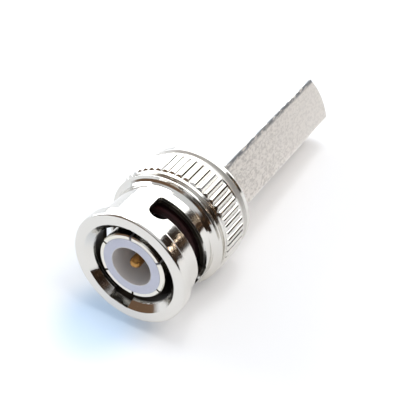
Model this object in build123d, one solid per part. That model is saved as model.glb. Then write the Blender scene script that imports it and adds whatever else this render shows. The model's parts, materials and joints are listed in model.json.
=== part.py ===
from build123d import *
from math import atan, cos, degrees, hypot, radians
import os

os.makedirs("parts", exist_ok=True)

# Sizes are in millimetres. Each piece is drawn round the Y axis, with the plug's front face at y = 0
# and the cable end at +y. Turns are in degrees, clockwise from the top when seen from the front.

# Outer contact, from which the nut's bore follows
contact_front = 0.65
contact_wall = 0.5
contact_tip_edge = 0.12
slit_count = 6
slit_width = 0.24
slit_length = 4.55
seam_turn = 20
socket_gap = 0.85

# Front lip and neck of the coupling nut
lead_in = 0.73
neck_wall = 1.33
lip_height = 0.7
lip_edge = 0.25
lip_length = 1.35
lip_curve_length = 0.65
neck_length = 4.7
rim_height = 0.8
rim_width = 0.15
shoulder_curve_length = 0.85
relief_depth = 0.45
relief_front = 2.4
relief_length = 4.9

# Gripping sleeve of the nut
sleeve_height = 0.7
front_groove_width = 0.7
groove_depth = 0.28
groove_slope = 0.25
knurl_height = 0.25
knurl_length = 4.2
knurl_ridges = 50
ridge_radius = 0.45
ridge_slope = 0.57
rear_groove_width = 0.75
rear_collar_length = 0.85
rear_collar_edge = 0.4
running_clearance = 0.05

# Bayonet windows, which take a stud 2 mm thick
window_turns = (0, 180)
entry_turn = 15.5
entry_half_width = 1.18
entry_front = 2.76
entry_corner = 0.45
entry_groove_depth = 0.68
slot_set_back = 0.74
slot_cam_rise = 0.4
slot_rear = 5.7
lock_turn = 104.0
lock_radius = 1.12
lock_set_back = 0.84
slot_steps = 10

# Short steps in each rounded edge of a turned piece, which keep its facets few
arc_steps = 4

# How far a cutter runs past what it cuts
cutter_spare = 1.0
slot_spare = 0.6

# Gasket, flange and journal behind the contact
gasket_front = 5.65
gasket_length = 1.35
gasket_edge = 0.2
gasket_seat = 0.25
flange_length = 1.6
flange_clearance = 0.22
journal_step = 0.32
spigot_step = 0.35
spigot_wall = 0.6
spigot_length = 3.9
press_clearance = 0.02

# Washers round the journal
washer_clearance = 0.1
washer_gap = 0.05
flat_washer = 0.25
thrust_washer = 0.4
spring_sheet = 0.2
spring_bow = 0.55
nut_travel = 0.5
travel_spare = 0.1

# Insulators and centre pin
insulator_set_back = 0.03
insulator_clearance = 0.02
insulator_wall = 1.14
dielectric_depth = 5.3
rear_insulator_wall = 1.885
rear_insulator_set_back = 0.01
pin_radius = 0.675
pin_root_step = 0.2
pin_front = 1.0
pin_collar_step = 0.425
pin_collar_length = 0.7
socket_wall = 0.455
socket_depth = 4.6
funnel_radius = 1.7
funnel_depth = 1.3

# Hexagonal barrel that screws onto the cable
across_flats = 9.4
barrel_length = 23.95
barrel_edge = 0.22
barrel_end_bevel = 0.95
barrel_end_land = 0.25
barrel_gap = 0.25
front_bevel = 0.35
web_gap = 0.1
web_thickness = 1.0
web_wall = 1.45
cable_wall = 1.6
cable_mouth = 0.6

# Radii that follow from the ones above, from the pin outwards
pin_root_radius = pin_radius + pin_root_step
pin_hole = pin_root_radius + insulator_clearance
pin_collar_radius = pin_root_radius + pin_collar_step
socket_radius = pin_root_radius - socket_wall
journal_bore = pin_hole + rear_insulator_wall + insulator_clearance
spigot_radius = journal_bore + spigot_wall
journal_radius = spigot_radius + spigot_step
contact_radius = journal_radius + journal_step
contact_bore = contact_radius - contact_wall
bore_radius = contact_radius + socket_gap
neck_radius = bore_radius + neck_wall
lip_radius = neck_radius + lip_height
rim_radius = neck_radius + rim_height
relief_radius = bore_radius + relief_depth
sleeve_radius = neck_radius + sleeve_height
groove_floor = sleeve_radius - groove_depth
knurl_tip_radius = sleeve_radius + knurl_height
entry_groove_radius = bore_radius + entry_groove_depth
flange_radius = bore_radius - flange_clearance
washer_radius = flange_radius
washer_bore = journal_radius + washer_clearance
dielectric_bore = contact_bore - insulator_wall
flat_radius = across_flats / 2
web_bore = spigot_radius - web_wall
cable_bore = flat_radius - cable_wall
barrel_end_radius = flat_radius - barrel_end_land

# Stations along the axis that follow from the ones above
neck_start = lip_length + lip_curve_length
neck_end = neck_start + neck_length
rim_front = neck_end + shoulder_curve_length
rim_rear = rim_front + rim_width
knurl_start = rim_rear + front_groove_width
knurl_end = knurl_start + knurl_length
collar_start = knurl_end + rear_groove_width
nut_end = collar_start + rear_collar_length
slot_front_at_entry = entry_front + slot_set_back
slot_front_at_lock = slot_front_at_entry + slot_cam_rise
lock_front = entry_front + lock_set_back
flange_front = gasket_front + gasket_length
flange_rear = flange_front + flange_length
spring_height = spring_bow + spring_sheet
front_spring = flange_rear + washer_gap
middle_washer = front_spring + spring_height + washer_gap
rear_spring = middle_washer + flat_washer + washer_gap
thrust_front = rear_spring + spring_height + nut_travel + travel_spare
thrust_rear = thrust_front + thrust_washer
nut_wall_front = thrust_rear + washer_gap
barrel_front = nut_end + barrel_gap
barrel_end = barrel_front + barrel_length
spigot_end = barrel_front + spigot_length
web_front = spigot_end + web_gap
insulator_front = contact_front - insulator_set_back
dielectric_end = insulator_front + dielectric_depth
collar_front = flange_rear + 2 * insulator_clearance
collar_rear = collar_front + pin_collar_length
rear_insulator_end = spigot_end - rear_insulator_set_back
pin_end = rear_insulator_end - funnel_depth

# The plug lies on its knurl and on the rear end of the barrel's lower flat
flat_end = barrel_end - (flat_radius - barrel_end_radius)
knurl_foot = knurl_end - ridge_slope
tilt = atan((knurl_tip_radius - flat_radius) / (flat_end - knurl_foot))


def turned(outline):
    """A solid of revolution round the plug's axis from a closed outline of (radius, y) points."""
    return revolve(make_face(outline), Axis.Y)


def ring(inner, outer, front, rear):
    """A plain ring between two radii."""
    face = Pos((inner + outer) / 2, (front + rear) / 2) * Rectangle(outer - inner, rear - front)
    return revolve(face, Axis.Y)


def rounded(start, end, share):
    """An arc in short steps between two points, bulging by a share of its chord to one side or the other."""
    chord = hypot(end[0] - start[0], end[1] - start[1])
    arc = SagittaArc(start, end, share * chord)
    return Polyline([arc @ (step / arc_steps) for step in range(arc_steps + 1)])


def nut_blank():
    """The turned form of the coupling nut, with a lip, a slotted neck, a rim, a sleeve and a collar."""
    rear_bore = journal_radius + running_clearance
    relief_rear = relief_front + relief_length
    mouth = (bore_radius + lead_in, 0)
    lip_front = (lip_radius - lip_edge, 0)
    lip_corner = (lip_radius, lip_edge)
    lip_rear = (lip_radius, lip_length)
    neck_front = (neck_radius, neck_start)
    neck_rear = (neck_radius, neck_end)
    rim_corner = (rim_radius, rim_front)
    collar_corner = (sleeve_radius, nut_end - rear_collar_edge)
    collar_rear_corner = (sleeve_radius - rear_collar_edge, nut_end)
    sleeve = Polyline(
        rim_corner,
        (rim_radius, rim_rear),
        (groove_floor, rim_rear + groove_slope),
        (groove_floor, knurl_start),
        (sleeve_radius, knurl_start),
        (sleeve_radius, knurl_end),
        (groove_floor, knurl_end),
        (groove_floor, collar_start - groove_slope),
        (sleeve_radius, collar_start),
        collar_corner,
    )
    inside = Polyline(
        collar_rear_corner,
        (rear_bore, nut_end),
        (rear_bore, nut_wall_front),
        (bore_radius, nut_wall_front),
        (bore_radius, relief_rear + relief_depth),
        (relief_radius, relief_rear),
        (relief_radius, relief_front + relief_depth),
        (bore_radius, relief_front),
        (bore_radius, lead_in),
        mouth,
    )
    outline = Line(mouth, lip_front) + rounded(lip_front, lip_corner, -0.2) + Line(lip_corner, lip_rear)
    outline += rounded(lip_rear, neck_front, 0.2) + Line(neck_front, neck_rear)
    outline += rounded(neck_rear, rim_corner, 0.2) + sleeve
    outline += rounded(collar_corner, collar_rear_corner, -0.2) + inside
    return turned(outline)


def knurl_ridge():
    """One rounded ridge of the grip, sloped off at both ends."""
    bar = extrude(RegularPolygon(ridge_radius, 16, major_radius=False), knurl_length)
    bar = Pos(0, knurl_end, knurl_tip_radius - ridge_radius) * Rot(90, 0, 0) * bar
    low = sleeve_radius - ridge_radius
    side = Polyline(
        (0, knurl_start, low),
        (0, knurl_start + ridge_slope, knurl_tip_radius),
        (0, knurl_end - ridge_slope, knurl_tip_radius),
        (0, knurl_end, low),
        (0, knurl_start, low),
    )
    return bar & extrude(make_face(side), ridge_radius, both=True)


def slot_section(turn, front):
    """The cutter's cross-section for the cam slot at one angle round the nut."""
    inner = bore_radius - slot_spare
    outer = lip_radius + slot_spare
    corners = Polyline(
        (0, front, inner),
        (0, front, outer),
        (0, slot_rear, outer),
        (0, slot_rear, inner),
        (0, front, inner),
    )
    return Rot(0, turn, 0) * make_face(corners)


def bayonet_window():
    """The cutter for one bayonet track: entry groove, entry pocket, cam slot and locking notch."""
    reach = lip_radius + cutter_spare
    pocket_length = slot_rear - entry_front
    pocket = Rectangle(2 * entry_half_width, pocket_length)
    pocket = fillet(pocket.vertices().sort_by(Axis.Y)[:2], entry_half_width * 0.95)
    pocket = fillet(pocket.vertices().sort_by(Axis.Y)[-2:], entry_corner)
    pocket = Pos(0, (entry_front + slot_rear) / 2, 0) * extrude(pocket, reach)
    groove = Box(2 * entry_half_width, slot_front_at_entry + cutter_spare, entry_groove_radius)
    groove = Pos(0, (slot_front_at_entry - cutter_spare) / 2, entry_groove_radius / 2) * groove
    entry = Rot(0, entry_turn, 0) * (pocket + groove)
    sections = []
    for step in range(slot_steps + 1):
        share = step / slot_steps
        turn = entry_turn + share * (lock_turn - entry_turn)
        front = slot_front_at_entry + share * (slot_front_at_lock - slot_front_at_entry)
        sections.append(slot_section(turn, front))
    slot = loft(sections, ruled=True)
    notch = Pos(0, lock_front + lock_radius, reach / 2) * Cylinder(lock_radius, reach)
    return entry + slot + Rot(0, lock_turn, 0) * notch


def coupling_nut():
    """The bayonet coupling nut, cast in one piece."""
    ridges = [Rot(0, number * 360 / knurl_ridges, 0) * knurl_ridge() for number in range(knurl_ridges)]
    nut = nut_blank() + ridges
    window = bayonet_window()
    for turn in window_turns:
        nut = nut - Rot(0, turn, 0) * window
    return nut


def hex_barrel():
    """The hexagonal barrel, flat on top, with a turned rear end and a bore for the cable."""
    section = RegularPolygon(flat_radius, 6, major_radius=False)
    section = fillet(section.vertices(), barrel_edge)
    blank = Pos(0, barrel_end, 0) * Rot(90, 0, 0) * extrude(section, barrel_length)
    corner = flat_radius / cos(radians(30)) + 0.5
    socket = spigot_radius + press_clearance
    chamber_front = web_front + web_thickness
    rise = corner - flat_radius
    outline = Polyline(
        (socket, barrel_front),
        (flat_radius, barrel_front),
        (corner, barrel_front + front_bevel * rise),
        (corner, barrel_end - barrel_end_bevel * (corner - barrel_end_radius)),
        (barrel_end_radius, barrel_end),
        (cable_bore + cable_mouth, barrel_end),
        (cable_bore, barrel_end - cable_mouth),
        (cable_bore, chamber_front),
        (web_bore, chamber_front),
        (web_bore, web_front),
        (socket, web_front),
        (socket, barrel_front),
    )
    return blank & turned(outline)


def outer_contact():
    """The slotted contact tube with its flange, its journal for the nut and its pressed rear spigot."""
    seat_radius = contact_radius - gasket_seat
    outline = Polyline(
        (contact_bore, contact_front),
        (contact_radius - contact_tip_edge, contact_front),
        (contact_radius, contact_front + contact_tip_edge),
        (contact_radius, gasket_front),
        (seat_radius, gasket_front),
        (seat_radius, flange_front),
        (flange_radius, flange_front),
        (flange_radius, flange_rear),
        (journal_radius, flange_rear),
        (journal_radius, barrel_front),
        (spigot_radius, barrel_front),
        (spigot_radius, spigot_end),
        (journal_bore, spigot_end),
        (journal_bore, flange_rear),
        (contact_bore, flange_rear),
        (contact_bore, contact_front),
    )
    tube = Rot(0, seam_turn, 0) * turned(outline)
    slit_depth = 4 * contact_wall
    slit = Pos(0, contact_front + (slit_length - cutter_spare) / 2, contact_bore + contact_wall / 2)
    slit = slit * Box(slit_width, slit_length + cutter_spare, slit_depth)
    for number in range(slit_count):
        tube = tube - Rot(0, number * 360 / slit_count, 0) * slit
    return tube


def front_insulator():
    """The white front insulator, open round the pin."""
    outer = contact_bore - insulator_clearance
    rear = flange_rear - insulator_clearance
    outline = Polyline(
        (dielectric_bore, insulator_front),
        (outer, insulator_front),
        (outer, rear),
        (pin_hole, rear),
        (pin_hole, dielectric_end),
        (dielectric_bore, dielectric_end),
        (dielectric_bore, insulator_front),
    )
    return turned(outline)


def rear_insulator():
    """The rear insulator, which traps the pin's collar and guides the cable's core into the pin."""
    front = flange_rear + insulator_clearance
    outer = journal_bore - insulator_clearance
    pocket = pin_collar_radius + insulator_clearance
    pocket_end = collar_rear + insulator_clearance
    outline = Polyline(
        (pocket, front),
        (outer, front),
        (outer, rear_insulator_end),
        (funnel_radius, rear_insulator_end),
        (pin_hole, pin_end),
        (pin_hole, pocket_end),
        (pocket, pocket_end),
        (pocket, front),
    )
    return turned(outline)


def centre_pin():
    """The gilt centre pin, with a rounded tip, a collar and a socket for the cable's core."""
    tip_flat = pin_radius * 0.45
    tip_end = pin_front + pin_radius * 0.75
    socket_front = pin_end - socket_depth
    nose = Line((0, pin_front), (tip_flat, pin_front))
    tip = rounded((tip_flat, pin_front), (pin_radius, tip_end), -0.15)
    shank = Polyline(
        (pin_radius, tip_end),
        (pin_radius, dielectric_end),
        (pin_root_radius, dielectric_end),
        (pin_root_radius, collar_front),
        (pin_collar_radius, collar_front),
        (pin_collar_radius, collar_rear),
        (pin_root_radius, collar_rear),
        (pin_root_radius, pin_end),
        (socket_radius, pin_end),
        (socket_radius, socket_front),
        (0, socket_front),
        (0, pin_front),
    )
    return turned(nose + tip + shank)


def gasket():
    """The soft ring that the socket's rim lands on."""
    inner = contact_radius - gasket_seat + insulator_clearance
    outline = Polyline(
        (inner, gasket_front),
        (flange_radius - gasket_edge, gasket_front),
        (flange_radius, gasket_front + gasket_edge),
        (flange_radius, flange_front),
        (inner, flange_front),
        (inner, gasket_front),
    )
    return turned(outline)


def bowed_washer(front):
    """A spring washer bowed about one line, seated with its crest towards the rear."""
    half = washer_radius + 0.1
    rear = front + spring_bow + spring_sheet
    lower = ThreePointArc((-half, front), (0, rear - spring_sheet), (half, front))
    upper = ThreePointArc((-half, front + spring_sheet), (0, rear), (half, front + spring_sheet))
    ends = Line(lower @ 1, upper @ 1) + Line(upper @ 0, lower @ 0)
    sheet = extrude(make_face(lower + upper + ends), half, both=True)
    return sheet & ring(washer_bore, washer_radius, front - cutter_spare, rear + cutter_spare)


pieces = {
    "coupling_nut": coupling_nut(),
    "hex_barrel": hex_barrel(),
    "outer_contact": outer_contact(),
    "front_insulator": front_insulator(),
    "rear_insulator": rear_insulator(),
    "centre_pin": centre_pin(),
    "gasket": gasket(),
    "front_spring_washer": bowed_washer(front_spring),
    "middle_washer": ring(washer_bore, washer_radius, middle_washer, middle_washer + flat_washer),
    "rear_spring_washer": bowed_washer(rear_spring),
    "thrust_washer": ring(journal_radius + running_clearance, washer_radius, thrust_front, thrust_rear),
}

lying = Rot(-degrees(tilt), 0, 0)
placed = {name: lying * piece for name, piece in pieces.items()}
boxes = [piece.bounding_box() for piece in placed.values()]
low = [min(tuple(box.min)[way] for box in boxes) for way in range(3)]
high = [max(tuple(box.max)[way] for box in boxes) for way in range(3)]
shift = Pos(-(low[0] + high[0]) / 2, -(low[1] + high[1]) / 2, -low[2])
for name, piece in placed.items():
    export_step(shift * piece, f"parts/{name}.step")
    print(name, round(piece.volume, 2), piece.is_valid, len(piece.solids()))
print("tilt", degrees(tilt), "low", low, "high", high)
print("nut end", nut_end, "wall", nut_wall_front, "barrel front", barrel_front)
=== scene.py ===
import bpy
import bmesh
import json
import math
from mathutils import Matrix, Vector


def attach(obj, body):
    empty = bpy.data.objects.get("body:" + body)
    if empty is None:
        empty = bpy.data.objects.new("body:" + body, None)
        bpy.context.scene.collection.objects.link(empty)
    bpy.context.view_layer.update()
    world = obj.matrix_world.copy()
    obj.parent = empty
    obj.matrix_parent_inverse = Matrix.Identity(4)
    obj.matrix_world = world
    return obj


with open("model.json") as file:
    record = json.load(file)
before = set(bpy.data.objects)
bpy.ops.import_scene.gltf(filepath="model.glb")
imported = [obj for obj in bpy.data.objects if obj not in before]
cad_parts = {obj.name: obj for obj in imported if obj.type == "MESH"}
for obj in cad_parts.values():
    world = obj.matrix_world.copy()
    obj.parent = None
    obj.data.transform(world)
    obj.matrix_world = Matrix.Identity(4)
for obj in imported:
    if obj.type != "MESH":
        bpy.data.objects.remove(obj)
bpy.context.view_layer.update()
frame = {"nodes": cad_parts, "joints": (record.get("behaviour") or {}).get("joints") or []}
nodes = frame["nodes"]
print("frame loaded:", len(nodes), "CAD pieces")

# The plug's own axis, from the nut's turning joint: y runs from the mating face to the cable end
turnJoint = [joint for joint in frame["joints"] if joint["name"] == "nut_turn"][0]
plugAxis = Vector(turnJoint["axis"]).normalized()
jointDepth = 0.007  # the joint's point lies this far behind the mating face
plugFront = Vector(turnJoint["pos_m"]) - jointDepth * plugAxis
plugTilt = math.atan2(plugAxis.z, plugAxis.y)
plugPlace = Matrix.Translation(plugFront) @ Matrix.Rotation(plugTilt, 4, "X")
millimetre = 0.001


# Helpers for the materials

rising = (0.0, 1.0)
falling = (1.0, 0.0)
noiseSpan = (0.35, 0.65)  # most of a noise lies between these
bandsPerUnit = 3.2  # a wave texture of scale 1 has about this many bands in one unit


def linearColour(code):
    # an sRGB hex value, turned to linear by the standard's own curve
    parts = [int(code[start : start + 2], 16) / 255 for start in (1, 3, 5)]
    return [part / 12.92 if part <= 0.04045 else ((part + 0.055) / 1.055) ** 2.4 for part in parts] + [1.0]


def inMetres(lengths):
    return [length * millimetre for length in lengths]


def perMetre(size):
    # the scale that gives a pattern its real size in millimetres
    return 1 / (size * millimetre)


def addNode(tree, kind, inputs=None, **settings):
    # inputs go by name, or by number where a node has several of one name: on a Mix node 0 is the share,
    # 2 and 3 are two numbers, and 6 and 7 are two colours, whose mix is output 2
    node = tree.nodes.new(kind)
    for name, value in settings.items():
        setattr(node, name, value)
    for name, value in (inputs or {}).items():
        if isinstance(value, bpy.types.NodeSocket):
            tree.links.new(value, node.inputs[name])
        else:
            node.inputs[name].default_value = value
    return node


def newMaterial(name):
    material = bpy.data.materials.new(name)
    material.use_nodes = True
    material.node_tree.nodes.clear()
    return material, material.node_tree


def share(tree, *steps):
    # how much a point takes of a second look: the product of smooth steps, each made of a value, the span
    # over which it changes the share, and the shares at the span's start and end
    total = 1.0
    for value, span, ends in steps:
        step = addNode(tree, "ShaderNodeMapRange", {
            "Value": value, "From Min": span[0], "From Max": span[1], "To Min": ends[0], "To Max": ends[1],
        }, interpolation_type="SMOOTHSTEP")
        product = addNode(tree, "ShaderNodeMath", {0: total, 1: step.outputs[0]}, operation="MULTIPLY")
        total = product.outputs[0]
    return total


def unevenRoughness(tree, noise, look):
    # from the look's smooth to its hazy roughness, by a noise
    return addNode(tree, "ShaderNodeMapRange", {
        "Value": noise.outputs[0], "From Min": noiseSpan[0], "From Max": noiseSpan[1],
        "To Min": look["smooth"], "To Max": look["hazy"],
    }).outputs[0]


def plugPoint(tree, place):
    # a point as the plug sees it: X and Z lie across its axis, and Y is the depth behind the mating face
    turned = addNode(tree, "ShaderNodeMapping", {
        "Vector": place, "Location": plugFront, "Rotation": (plugTilt, 0, 0)}, vector_type="TEXTURE")
    return addNode(tree, "ShaderNodeSeparateXYZ", {"Vector": turned.outputs[0]}).outputs


def acrossAxis(tree, point):
    # the way from the plug's axis straight out to the point
    return addNode(tree, "ShaderNodeCombineXYZ", {"X": point["X"], "Z": point["Z"]}).outputs[0]


def plugRadius(tree, point):
    length = addNode(tree, "ShaderNodeVectorMath", {0: acrossAxis(tree, point)}, operation="LENGTH")
    return length.outputs["Value"]


# Materials: sizes, depths behind the mating face and radii from the plug's axis are in millimetres

def nickelPlatedZincCasting():
    # die-cast zinc, tumbled and nickel plated: a bright, slightly warm mirror with a faint ripple. It is dull
    # in the bore and on the windows' walls, where the tumbling stones and the plating hardly reach, and there
    # it is painted dark for the shade inside the nut. It is only dull in the groove behind the grip
    look = {
        "colour": "#DAD7D1", "smooth": 0.08, "hazy": 0.18, "hazeSize": 2.3,
        "edge": 0.07,  # the small radius that casting and tumbling leave, too small for the solids
        "rippleSize": 1.3, "rippleDepth": 0.04,
        # painted shade: the bore and the windows' walls get a dark colour that stands for the shade inside
        # the nut
        "borePaintedLightColour": "#3A332C", "boreRoughness": 0.42, "boreDepth": (0.8, 1.25), "boreRadius": (5.75, 6.15),
        "grooveRoughness": 0.5, "grooveFront": (12.45, 12.65), "grooveBack": (13.3, 13.5),
    }
    material, tree = newMaterial("nickelPlatedZincCasting")
    place = addNode(tree, "ShaderNodeTexCoord").outputs["Object"]
    point = plugPoint(tree, place)
    borePaintedLightShare = share(
        tree,
        (point["Y"], inMetres(look["boreDepth"]), rising),
        (plugRadius(tree, point), inMetres(look["boreRadius"]), falling),
    )
    grooveShare = share(
        tree,
        (point["Y"], inMetres(look["grooveFront"]), rising),
        (point["Y"], inMetres(look["grooveBack"]), falling),
    )
    # the painted shade is mixed into the colour inside the bore
    colour = addNode(tree, "ShaderNodeMix", {
        0: borePaintedLightShare, 6: linearColour(look["colour"]), 7: linearColour(look["borePaintedLightColour"])}, data_type="RGBA")
    ripple = addNode(tree, "ShaderNodeTexNoise", {
        "Vector": place, "Scale": perMetre(look["rippleSize"]), "Detail": 3.0})
    haze = addNode(tree, "ShaderNodeTexNoise", {
        "Vector": place, "Scale": perMetre(look["hazeSize"]), "Detail": 5.0})
    rounded = addNode(tree, "ShaderNodeBevel", {"Radius": look["edge"] * millimetre}, samples=6)
    bump = addNode(tree, "ShaderNodeBump", {
        "Height": ripple.outputs[0], "Strength": 0.6, "Distance": look["rippleDepth"] * millimetre,
        "Normal": rounded.outputs["Normal"]})
    outside = addNode(tree, "ShaderNodeMix", {
        0: grooveShare, 2: unevenRoughness(tree, haze, look), 3: look["grooveRoughness"]})
    roughness = addNode(tree, "ShaderNodeMix", {
        0: borePaintedLightShare, 2: outside.outputs[0], 3: look["boreRoughness"]})
    metal = addNode(tree, "ShaderNodeBsdfPrincipled", {
        "Base Color": colour.outputs[2],
        "Metallic": 1.0,
        "Roughness": roughness.outputs[0],
        "Normal": bump.outputs["Normal"],
    })
    addNode(tree, "ShaderNodeOutputMaterial", {"Surface": metal.outputs["BSDF"]})
    return material


def nickelPlatedRoughCasting():
    # the barrel is plated straight over the die's rough skin: satin, with a wrinkled grain, painted shade in
    # the grain's valleys, weaker towards the cable end, and a broken dark line along the two corners where
    # the die met, which lie along partingWay from the axis
    look = {
        "colour": "#F8F3EC", "smooth": 0.3, "hazy": 0.44,
        "edge": 0.12,  # the die's own corner radius, too small for the solids
        "grainSize": 0.25, "grainStretch": 0.5, "grainDepth": 0.05, "pitSize": 0.12, "pitDepth": 0.004,
        # painted shade: the grain's valleys are painted darker for the shade in them, less so towards the
        # cable end
        "valleyShadeColour": "#B5AEA6", "valleyHeight": (0.36, 0.6), "valleyShadeShare": 0.5,
        "valleyFade": (17, 36), "valleyLeft": 0.4,
        "fleckColour": "#8B8D8F", "fleckSize": 0.36, "fleckStretch": 0.3, "fleckHeight": (0.3, 0.56),
        "partingWay": (0.707, 0, 0.707), "cornerReach": (5.07, 5.17),
    }
    material, tree = newMaterial("nickelPlatedRoughCasting")
    place = addNode(tree, "ShaderNodeTexCoord").outputs["Object"]
    point = plugPoint(tree, place)
    alongParting = addNode(tree, "ShaderNodeVectorMath", {
        0: acrossAxis(tree, point), 1: look["partingWay"]}, operation="DOT_PRODUCT")
    cornerReach = addNode(tree, "ShaderNodeMath", {0: alongParting.outputs["Value"]}, operation="ABSOLUTE")
    grainPlace = addNode(tree, "ShaderNodeMapping", {
        "Vector": place, "Scale": (1.0, look["grainStretch"], 1.0)})
    grain = addNode(tree, "ShaderNodeTexNoise", {
        "Vector": grainPlace.outputs[0], "Scale": perMetre(look["grainSize"]), "Detail": 4.0,
        "Roughness": 0.55, "Distortion": 0.5})
    pits = addNode(tree, "ShaderNodeTexNoise", {
        "Vector": place, "Scale": perMetre(look["pitSize"]), "Detail": 2.0})
    fleckPlace = addNode(tree, "ShaderNodeMapping", {
        "Vector": place, "Scale": (1.0, look["fleckStretch"], 1.0)})
    flecks = addNode(tree, "ShaderNodeTexNoise", {
        "Vector": fleckPlace.outputs[0], "Scale": perMetre(look["fleckSize"]), "Detail": 3.0})
    fleckShare = share(
        tree,
        (cornerReach.outputs[0], inMetres(look["cornerReach"]), rising),
        (flecks.outputs[0], look["fleckHeight"], rising),
    )
    # how much painted shade each point of the grain takes
    valleyShadeShare = share(
        tree,
        (grain.outputs[0], look["valleyHeight"], (look["valleyShadeShare"], 0.0)),
        (point["Y"], inMetres(look["valleyFade"]), (1.0, look["valleyLeft"])),
    )
    skin = addNode(tree, "ShaderNodeMix", {
        0: valleyShadeShare, 6: linearColour(look["colour"]), 7: linearColour(look["valleyShadeColour"]),
    }, data_type="RGBA")
    colour = addNode(tree, "ShaderNodeMix", {
        0: fleckShare, 6: skin.outputs[2], 7: linearColour(look["fleckColour"])}, data_type="RGBA")
    rounded = addNode(tree, "ShaderNodeBevel", {"Radius": look["edge"] * millimetre}, samples=6)
    coarse = addNode(tree, "ShaderNodeBump", {
        "Height": grain.outputs[0], "Strength": 0.6, "Distance": look["grainDepth"] * millimetre,
        "Normal": rounded.outputs["Normal"]})
    fine = addNode(tree, "ShaderNodeBump", {
        "Height": pits.outputs[0], "Strength": 0.5, "Distance": look["pitDepth"] * millimetre,
        "Normal": coarse.outputs["Normal"]})
    metal = addNode(tree, "ShaderNodeBsdfPrincipled", {
        "Base Color": colour.outputs[2],
        "Metallic": 1.0,
        "Roughness": unevenRoughness(tree, grain, look),
        "Normal": fine.outputs["Normal"],
    })
    addNode(tree, "ShaderNodeOutputMaterial", {"Surface": metal.outputs["BSDF"]})
    return material


def nickelPlatedTurnedBrass():
    # turned brass under bright nickel: fine rings from the lathe tool
    look = {
        "colour": "#E2DED4", "smooth": 0.14, "hazy": 0.24, "hazeSize": 1.5,
        "ringSpacing": 0.09, "ringDepth": 0.003, "ringDistortion": 0.4,
    }
    material, tree = newMaterial("nickelPlatedTurnedBrass")
    place = addNode(tree, "ShaderNodeTexCoord").outputs["Object"]
    rings = addNode(tree, "ShaderNodeTexWave", {
        "Vector": place, "Scale": perMetre(look["ringSpacing"] * bandsPerUnit),
        "Distortion": look["ringDistortion"]}, bands_direction="Y")
    haze = addNode(tree, "ShaderNodeTexNoise", {
        "Vector": place, "Scale": perMetre(look["hazeSize"]), "Detail": 4.0})
    bump = addNode(tree, "ShaderNodeBump", {
        "Height": rings.outputs[0], "Strength": 0.3, "Distance": look["ringDepth"] * millimetre})
    metal = addNode(tree, "ShaderNodeBsdfPrincipled", {
        "Base Color": linearColour(look["colour"]),
        "Metallic": 1.0,
        "Roughness": unevenRoughness(tree, haze, look),
        "Normal": bump.outputs["Normal"],
    })
    addNode(tree, "ShaderNodeOutputMaterial", {"Surface": metal.outputs["BSDF"]})
    return material


def goldFlashedBrass():
    # a thin gold flash on turned brass: deep yellow, a little duller than solid gold
    look = {"colour": "#AC8047", "smooth": 0.24, "hazy": 0.38, "hazeSize": 0.6}
    material, tree = newMaterial("goldFlashedBrass")
    place = addNode(tree, "ShaderNodeTexCoord").outputs["Object"]
    haze = addNode(tree, "ShaderNodeTexNoise", {
        "Vector": place, "Scale": perMetre(look["hazeSize"]), "Detail": 4.0})
    metal = addNode(tree, "ShaderNodeBsdfPrincipled", {
        "Base Color": linearColour(look["colour"]),
        "Metallic": 1.0,
        "Roughness": unevenRoughness(tree, haze, look),
    })
    addNode(tree, "ShaderNodeOutputMaterial", {"Surface": metal.outputs["BSDF"]})
    return material


def mouldedWhiteAcetal():
    # moulded acetal: cool white, waxy, with a soft sheen and a faint flow mark, and a painted warm reflection
    # in the bore for the light that the gilt pin throws on it
    look = {
        "colour": "#CCCCD9", "smooth": 0.34, "hazy": 0.46, "flowSize": 1.6, "flowDepth": 0.006,
        # painted reflection: the bore gets a warm colour for the gilt pin's light on it
        "borePaintedLightColour": "#D6CFCA", "boreRadius": (2.42, 2.55),
        "lightDepth": (0.6, 0.6, 0.7),  # how far red, green and blue light spread inside it
    }
    material, tree = newMaterial("mouldedWhiteAcetal")
    place = addNode(tree, "ShaderNodeTexCoord").outputs["Object"]
    flow = addNode(tree, "ShaderNodeTexNoise", {
        "Vector": place, "Scale": perMetre(look["flowSize"]), "Detail": 3.0})
    bump = addNode(tree, "ShaderNodeBump", {
        "Height": flow.outputs[0], "Strength": 0.3, "Distance": look["flowDepth"] * millimetre})
    radius = plugRadius(tree, plugPoint(tree, place))
    borePaintedLightShare = share(tree, (radius, inMetres(look["boreRadius"]), falling))
    # the painted reflection is mixed into the colour near the pin
    colour = addNode(tree, "ShaderNodeMix", {
        0: borePaintedLightShare, 6: linearColour(look["colour"]), 7: linearColour(look["borePaintedLightColour"])}, data_type="RGBA")
    plastic = addNode(tree, "ShaderNodeBsdfPrincipled", {
        "Base Color": colour.outputs[2],
        "Roughness": unevenRoughness(tree, flow, look),
        "IOR": 1.48,
        "Subsurface Weight": 0.15,
        "Subsurface Radius": inMetres(look["lightDepth"]),
        "Subsurface Scale": 1.0,
        "Normal": bump.outputs["Normal"],
    })
    addNode(tree, "ShaderNodeOutputMaterial", {"Surface": plastic.outputs["BSDF"]})
    return material


def mouldedSiliconeRubber():
    # dark red silicone: matt, with a dusty sheen
    look = {"colour": "#300C0B", "smooth": 0.55, "hazy": 0.7, "grainSize": 0.12, "grainDepth": 0.006}
    material, tree = newMaterial("mouldedSiliconeRubber")
    place = addNode(tree, "ShaderNodeTexCoord").outputs["Object"]
    grain = addNode(tree, "ShaderNodeTexNoise", {
        "Vector": place, "Scale": perMetre(look["grainSize"]), "Detail": 2.0})
    bump = addNode(tree, "ShaderNodeBump", {
        "Height": grain.outputs[0], "Strength": 0.4, "Distance": look["grainDepth"] * millimetre})
    rubber = addNode(tree, "ShaderNodeBsdfPrincipled", {
        "Base Color": linearColour(look["colour"]),
        "Roughness": unevenRoughness(tree, grain, look),
        "IOR": 1.41,
        "Sheen Weight": 0.05,
        "Normal": bump.outputs["Normal"],
    })
    addNode(tree, "ShaderNodeOutputMaterial", {"Surface": rubber.outputs["BSDF"]})
    return material


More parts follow.
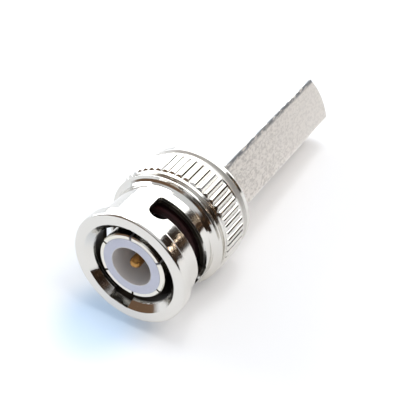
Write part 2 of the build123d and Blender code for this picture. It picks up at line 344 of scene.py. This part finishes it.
def rolledSpringSteel():
    # cold-rolled strip: grey, with rolling lines along one way
    look = {
        "colour": "#A39D94", "smooth": 0.28, "hazy": 0.42,
        "lineSpacing": 0.08, "lineStretch": 0.05, "lineDepth": 0.002,
    }
    material, tree = newMaterial("rolledSpringSteel")
    place = addNode(tree, "ShaderNodeTexCoord").outputs["Object"]
    linePlace = addNode(tree, "ShaderNodeMapping", {
        "Vector": place, "Scale": (1.0, 1.0, look["lineStretch"])})
    lines = addNode(tree, "ShaderNodeTexNoise", {
        "Vector": linePlace.outputs[0], "Scale": perMetre(look["lineSpacing"]), "Detail": 2.0})
    bump = addNode(tree, "ShaderNodeBump", {
        "Height": lines.outputs[0], "Strength": 0.3, "Distance": look["lineDepth"] * millimetre})
    metal = addNode(tree, "ShaderNodeBsdfPrincipled", {
        "Base Color": linearColour(look["colour"]),
        "Metallic": 1.0,
        "Roughness": unevenRoughness(tree, lines, look),
        "Normal": bump.outputs["Normal"],
    })
    addNode(tree, "ShaderNodeOutputMaterial", {"Surface": metal.outputs["BSDF"]})
    return material


nutMetal = nickelPlatedZincCasting()
barrelMetal = nickelPlatedRoughCasting()
contactMetal = nickelPlatedTurnedBrass()
pinMetal = goldFlashedBrass()
insulatorPlastic = mouldedWhiteAcetal()
gasketRubber = mouldedSiliconeRubber()
washerSteel = rolledSpringSteel()

nodeMaterials = {
    "coupling_nut": nutMetal,
    "hex_barrel": barrelMetal,
    "outer_contact": contactMetal,
    "front_insulator": insulatorPlastic,
    "rear_insulator": insulatorPlastic,
    "centre_pin": pinMetal,
    "gasket": gasketRubber,
    "front_spring_washer": washerSteel,
    "middle_washer": washerSteel,
    "rear_spring_washer": washerSteel,
    "thrust_washer": washerSteel,
}
for nodeName, nodeMaterial in nodeMaterials.items():
    for materialSlot in nodes[nodeName].material_slots:
        materialSlot.material = nodeMaterial
print("materials made:", len(nodeMaterials), "pieces dressed")


# Pieces

def finishPiece(mesh, name, material, body):
    # the piece is made round its own axis, then its mesh is laid on the plug's
    bmesh.ops.transform(mesh, matrix=plugPlace, verts=mesh.verts)
    data = bpy.data.meshes.new(name)
    mesh.to_mesh(data)
    mesh.free()
    data.materials.append(material)
    for face in data.polygons:
        face.use_smooth = True
    piece = bpy.data.objects.new(name, data)
    bpy.context.scene.collection.objects.link(piece)
    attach(piece, body)
    return piece


def cableThread():
    # the coarse thread that cuts into the cable's jacket, open to the barrel's rear end, in millimetres
    thread = {"rootRadius": 3.12, "crestRadius": 2.84, "pitch": 1.25, "rootWidth": 0.8, "crestWidth": 0.15,
              "start": 20.4, "turns": 13, "stepsPerTurn": 40}
    mesh = bmesh.new()
    corners = (
        (thread["rootRadius"], -thread["rootWidth"] / 2),
        (thread["crestRadius"], -thread["crestWidth"] / 2),
        (thread["crestRadius"], thread["crestWidth"] / 2),
        (thread["rootRadius"], thread["rootWidth"] / 2),
    )
    section = [
        mesh.verts.new((radius * millimetre, (thread["start"] + along) * millimetre, 0))
        for radius, along in corners
    ]
    sides = [mesh.edges.new((section[place], section[(place + 1) % 4])) for place in range(4)]
    steps = thread["turns"] * thread["stepsPerTurn"]
    bmesh.ops.spin(
        mesh, geom=section + sides, cent=(0, 0, 0), axis=(0, 1, 0), angle=thread["turns"] * math.tau,
        steps=steps, dvec=(0, thread["pitch"] * thread["turns"] * millimetre / steps, 0), use_merge=False,
    )
    openEdges = [edge for edge in mesh.edges if edge.is_boundary]
    bmesh.ops.holes_fill(mesh, edges=openEdges, sides=len(corners))
    bmesh.ops.recalc_face_normals(mesh, faces=mesh.faces)
    return finishPiece(mesh, "cable_thread", barrelMetal, "body")


cableThread()
print("cable thread cut")


# Floor, light and camera, in metres unless a note says otherwise

def paleFloor():
    # white painted board, with a painted blue shadow at the lip's front left for the sky's blue left there
    floor = {
        "radius": 0.7, "sides": 96, "colour": "#F4F4F5",
        "glow": 0.06,  # the share of the colour that camera, metal and glass see without shadow
        # painted shadow: a blue colour is painted on the board in the lip's shadow at the front left
        "paintedShadowTint": "#D3E5F8", "paintedShadowPlace": (-0.0035, -0.0210, 0.0), "paintedShadowReach": (0.002, 0.0075),
        "mirroredShadowTint": 0.2,  # the share of the tint that any ray but the camera's sees
    }
    mesh = bmesh.new()
    bmesh.ops.create_circle(mesh, cap_ends=True, segments=floor["sides"], radius=floor["radius"])
    data = bpy.data.meshes.new("paleFloor")
    mesh.to_mesh(data)
    mesh.free()
    material, tree = newMaterial("paintedBoard")
    ray = addNode(tree, "ShaderNodeLightPath").outputs
    seen = addNode(tree, "ShaderNodeMath", {
        0: ray["Is Camera Ray"], 1: ray["Is Glossy Ray"]}, operation="MAXIMUM")
    seenThrough = addNode(tree, "ShaderNodeMath", {
        0: seen.outputs[0], 1: ray["Is Transmission Ray"]}, operation="MAXIMUM")
    glowShare = addNode(tree, "ShaderNodeMath", {
        0: seenThrough.outputs[0], 1: floor["glow"]}, operation="MULTIPLY")
    place = addNode(tree, "ShaderNodeTexCoord").outputs["Object"]
    away = addNode(tree, "ShaderNodeVectorMath", {0: place, 1: floor["paintedShadowPlace"]}, operation="DISTANCE")
    # where the painted blue shadow lies, and how much of it the camera and mirrors see
    paintedShadowShare = share(
        tree,
        (away.outputs["Value"], floor["paintedShadowReach"], falling),
        (ray["Is Camera Ray"], rising, (floor["mirroredShadowTint"], 1.0)),
    )
    colour = addNode(tree, "ShaderNodeMix", {
        0: paintedShadowShare, 6: linearColour(floor["colour"]), 7: linearColour(floor["paintedShadowTint"])}, data_type="RGBA")
    board = addNode(tree, "ShaderNodeBsdfDiffuse", {"Color": colour.outputs[2]})
    glow = addNode(tree, "ShaderNodeEmission", {"Color": colour.outputs[2], "Strength": 1.0})
    mixed = addNode(tree, "ShaderNodeMixShader", {
        0: glowShare.outputs[0], 1: board.outputs[0], 2: glow.outputs[0]})
    addNode(tree, "ShaderNodeOutputMaterial", {"Surface": mixed.outputs[0]})
    data.materials.append(material)
    piece = bpy.data.objects.new("paleFloor", data)
    bpy.context.scene.collection.objects.link(piece)


def softSky():
    # the room as metal sees it: pale overhead, behind and to the left, dark wood with lighter patches low on
    # the right and in front, and a brown wall to the front left. Matt surfaces get the room's even light
    # instead, so that shadows stay close and soft. Bearings are in radians clockwise from the cable end,
    # heights are sines. In front the bearing jumps from pi to -pi, so darkEnd and wallStart run past it
    sky = {
        "pale": "#F2F6FB", "even": "#C0C8D1", "strength": 0.92,
        "dark": "#2E221A", "darkStart": (0.42, 0.6), "darkEnd": (2.95, 3.25), "darkTop": (0.52, 0.68),
        "patch": "#8A6849", "patchScale": 4.6, "patchHeight": (0.54, 0.68),
        "wall": "#7D6450", "wallStart": (-3.4, -3.0), "wallEnd": (-2.0, -1.6),
        "wallFoot": (0.0, 0.16), "wallTop": (0.72, 0.92),
    }
    world = bpy.data.worlds.new("softSky")
    world.use_nodes = True
    tree = world.node_tree
    tree.nodes.clear()
    way = addNode(tree, "ShaderNodeTexCoord").outputs["Generated"]
    axes = addNode(tree, "ShaderNodeSeparateXYZ", {"Vector": way}).outputs
    turn = addNode(tree, "ShaderNodeMath", {0: axes["X"], 1: axes["Y"]}, operation="ARCTAN2")
    bearing = turn.outputs[0]
    darkShare = share(
        tree,
        (bearing, sky["darkStart"], rising),
        (bearing, sky["darkEnd"], falling),
        (axes["Z"], sky["darkTop"], falling),
    )
    wallShare = share(
        tree,
        (bearing, sky["wallStart"], rising),
        (bearing, sky["wallEnd"], falling),
        (axes["Z"], sky["wallFoot"], rising),
        (axes["Z"], sky["wallTop"], falling),
    )
    patches = addNode(tree, "ShaderNodeTexNoise", {"Vector": way, "Scale": sky["patchScale"], "Detail": 3.0})
    patchShare = share(tree, (patches.outputs[0], sky["patchHeight"], rising))
    wood = addNode(tree, "ShaderNodeMix", {
        0: patchShare, 6: linearColour(sky["dark"]), 7: linearColour(sky["patch"])}, data_type="RGBA")
    walled = addNode(tree, "ShaderNodeMix", {
        0: wallShare, 6: linearColour(sky["pale"]), 7: linearColour(sky["wall"])}, data_type="RGBA")
    room = addNode(tree, "ShaderNodeMix", {
        0: darkShare, 6: walled.outputs[2], 7: wood.outputs[2]}, data_type="RGBA")
    ray = addNode(tree, "ShaderNodeLightPath").outputs
    light = addNode(tree, "ShaderNodeMix", {
        0: ray["Is Diffuse Ray"], 6: room.outputs[2], 7: linearColour(sky["even"])}, data_type="RGBA")
    around = addNode(tree, "ShaderNodeBackground", {"Color": light.outputs[2], "Strength": sky["strength"]})
    white = addNode(tree, "ShaderNodeBackground", {"Color": (1, 1, 1, 1), "Strength": 1.0})
    mixed = addNode(tree, "ShaderNodeMixShader", {
        0: ray["Is Camera Ray"], 1: around.outputs[0], 2: white.outputs[0]})
    addNode(tree, "ShaderNodeOutputWorld", {"Surface": mixed.outputs[0]})
    bpy.context.scene.world = world


def softBox(name, place, size, power, colour, aim=(0, 0, 0), onMatt=True, inMetal=True):
    # a box that lights no matt surface casts no long shadow, and one that metal doesn't mirror adds no glare
    lamp = bpy.data.lights.new(name, "AREA")
    lamp.shape = "RECTANGLE"
    lamp.size = size[0]
    lamp.size_y = size[1]
    lamp.energy = power
    lamp.color = linearColour(colour)[:3]
    box = bpy.data.objects.new(name, lamp)
    box.location = place
    box.rotation_euler = (Vector(aim) - Vector(place)).to_track_quat("-Z", "Y").to_euler()
    box.visible_diffuse = onMatt
    box.visible_glossy = inMetal
    bpy.context.scene.collection.objects.link(box)


def softLights():
    # power is in watts, and each box faces the floor under the plug unless it has an aim of its own
    boxes = {
        "rearWindow": {
            "place": (-0.12, 0.44, 0.235), "size": (0.84, 0.46), "power": 2.6, "colour": "#FBFDFF",
            "onMatt": False},
        "deskLamp": {
            "place": (0.22, 0.03, 0.36), "size": (0.2, 0.2), "power": 0.75, "colour": "#FFF6EC",
            "inMetal": False},
        "ceilingLight": {
            "place": (0.04, 0.06, 0.55), "size": (0.18, 0.18), "power": 0.75, "colour": "#FFFFFF",
            "inMetal": False},
        "leftWindow": {
            "place": (-0.40, 0.07, 0.18), "size": (0.30, 0.30), "power": 1.1, "colour": "#ECF4FF"},
        "topBox": {
            "place": (-0.16, 0.20, 0.36), "size": (0.16, 0.14), "power": 0.9, "colour": "#FFFFFF",
            "onMatt": False},
        "cornerLamp": {
            "place": (0.30, 0.24, 0.16), "size": (0.05, 0.03), "power": 0.06, "colour": "#FFE9CF",
            "aim": (0, 0, 0.005)},
    }
    for name, box in boxes.items():
        softBox(name, **box)


def photoCamera():
    # the photograph's view: place, aim, lens and sensor in millimetres, roll in degrees, clipStart in metres
    view = {"place": (45.65, -75.5, 84.58), "aim": (0.98, -5.83, 7.98), "roll": 3.11, "lens": 90.0,
            "sensor": 36, "clipStart": 0.01}
    lens = bpy.data.cameras.new("photoCamera")
    lens.sensor_width = view["sensor"]
    lens.lens = view["lens"]
    lens.clip_start = view["clipStart"]
    camera = bpy.data.objects.new("photoCamera", lens)
    place = Vector(view["place"]) * millimetre
    aim = Vector(view["aim"]) * millimetre
    roll = Matrix.Rotation(-math.radians(view["roll"]), 3, "Z")
    turn = (aim - place).to_track_quat("-Z", "Y").to_matrix() @ roll
    camera.location = place
    camera.rotation_euler = turn.to_euler()
    bpy.context.scene.collection.objects.link(camera)
    bpy.context.scene.camera = camera


paleFloor()
softSky()
softLights()
photoCamera()
bpy.context.scene.view_settings.view_transform = "Standard"
print("floor, light and camera set")
